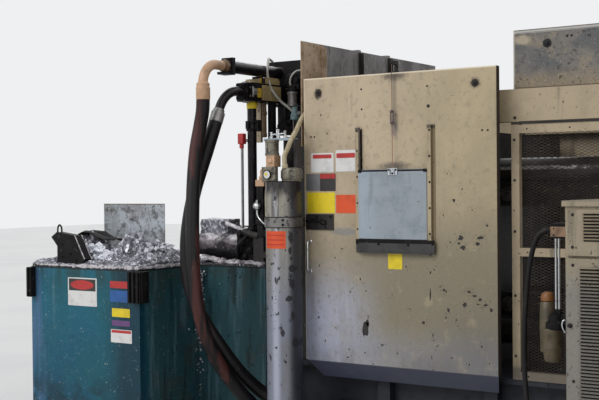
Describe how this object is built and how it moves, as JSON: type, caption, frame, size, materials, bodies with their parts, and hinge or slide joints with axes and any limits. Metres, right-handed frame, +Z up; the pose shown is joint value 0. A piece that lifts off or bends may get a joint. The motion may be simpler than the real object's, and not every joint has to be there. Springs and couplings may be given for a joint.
{
  "type": "hot chamber die casting machine",
  "caption": "Hot chamber die casting machine with sliding safety door, mesh guards, holding furnace, accumulator and louvred power cabinet.",
  "frame": {"origin": "on the floor, at the underside of the bed on the machine's centre plane, under the left edge of the safety door", "axes": "+X along the machine from the furnace to the clamp end, -Y towards the operator, +Z up"},
  "size_m": [5.08, 2.8, 2.452],
  "materials": {
    "dark_steel": "dull dark machine paint, oily",
    "cast_platen": "machined and painted casting",
    "bright_steel": "bare steel",
    "beige_paint": "dirty beige enamel",
    "cover_paint": "dusty grey beige enamel, stained",
    "rusty_sheet": "brown stained sheet",
    "galvanised": "galvanised sheet",
    "mesh_steel": "black expanded metal",
    "door_paint": "worn beige enamel with chips and streaks",
    "chrome": "polished",
    "accumulator_paint": "chipped cream enamel",
    "valve_steel": "greasy grey valve bodies",
    "pale_hose": "pale sleeved hose",
    "splashed_steel": "steel crusted with metal splashes",
    "black_grease": "black greasy steel",
    "hose_rubber": "satin black hose",
    "furnace_paint": "teal enamel with pale streaks",
    "dross": "crumpled bright dross",
    "cabinet_paint": "beige enamel",
    "junction_paint": "tan enamel"
  },
  "bodies": {
    "machine": {"bed_frame": "dark_steel", "bed_ribs": "dark_steel", "bed_deck": "dark_steel", "fixed_platen": "cast_platen", "moving_platen": "cast_platen", "rear_platen": "cast_platen", "tie_bars": "bright_steel", "toggle_links": "cast_platen", "clamp_cylinder": "cast_platen", "guard_posts": "beige_paint", "track_beam": "beige_paint", "rear_beam": "beige_paint", "top_cover": "cover_paint", "side_guard_front": "rusty_sheet", "side_guard_rear": "galvanised", "front_guard_rails": "beige_paint", "front_mesh": "mesh_steel", "rear_guard_rails": "beige_paint", "rear_mesh": "mesh_steel", "end_guard": "beige_paint", "rear_panel": "beige_paint", "accumulator": "accumulator_paint", "accumulator_band": "bright_steel", "accumulator_head": "valve_steel", "accumulator_pipe": "pale_hose", "shot_bars": "splashed_steel", "shot_yoke": "dark_steel", "shot_posts": "dark_steel", "crosshead": "black_grease", "shot_cylinder": "cast_platen", "gooseneck": "splashed_steel", "upper_pipe": "black_grease", "lower_pipe": "black_grease", "upper_hose": "hose_rubber", "lower_hose": "hose_rubber", "hose_manifold": "dark_steel", "furnace_body": "furnace_paint", "charging_well": "furnace_paint", "furnace_lugs": "black_grease", "furnace_top": "splashed_steel", "dross_heap": "dross", "splash_panel": "galvanised", "lid_plate": "black_grease", "cabinet_body": "cabinet_paint", "cabinet_lid": "cabinet_paint", "cabinet_doors": "cabinet_paint", "power_skid": "dark_steel", "junction_box": "junction_paint", "filter_unit": "chrome", "control_cable": "hose_rubber"},
    "door": {"safety_door": "door_paint", "door_wheels": "dark_steel", "door_handle": "chrome", "latch_plate": "dark_steel", "hatch_rails": "rusty_sheet", "hatch_ledge": "dark_steel", "hatch_cable": "dark_steel"},
    "hatch_sheet": {"hatch": "galvanised"}
  },
  "joints": [
    {"name": "door_slide", "type": "slide", "parent": "machine", "child": "door", "axis": [1, 0, 0], "range_m": [0, 1.1]},
    {"name": "hatch_slide", "type": "slide", "parent": "door", "child": "hatch_sheet", "axis": [0, 0, 1], "range_m": [0, 0.235]}
  ]
}
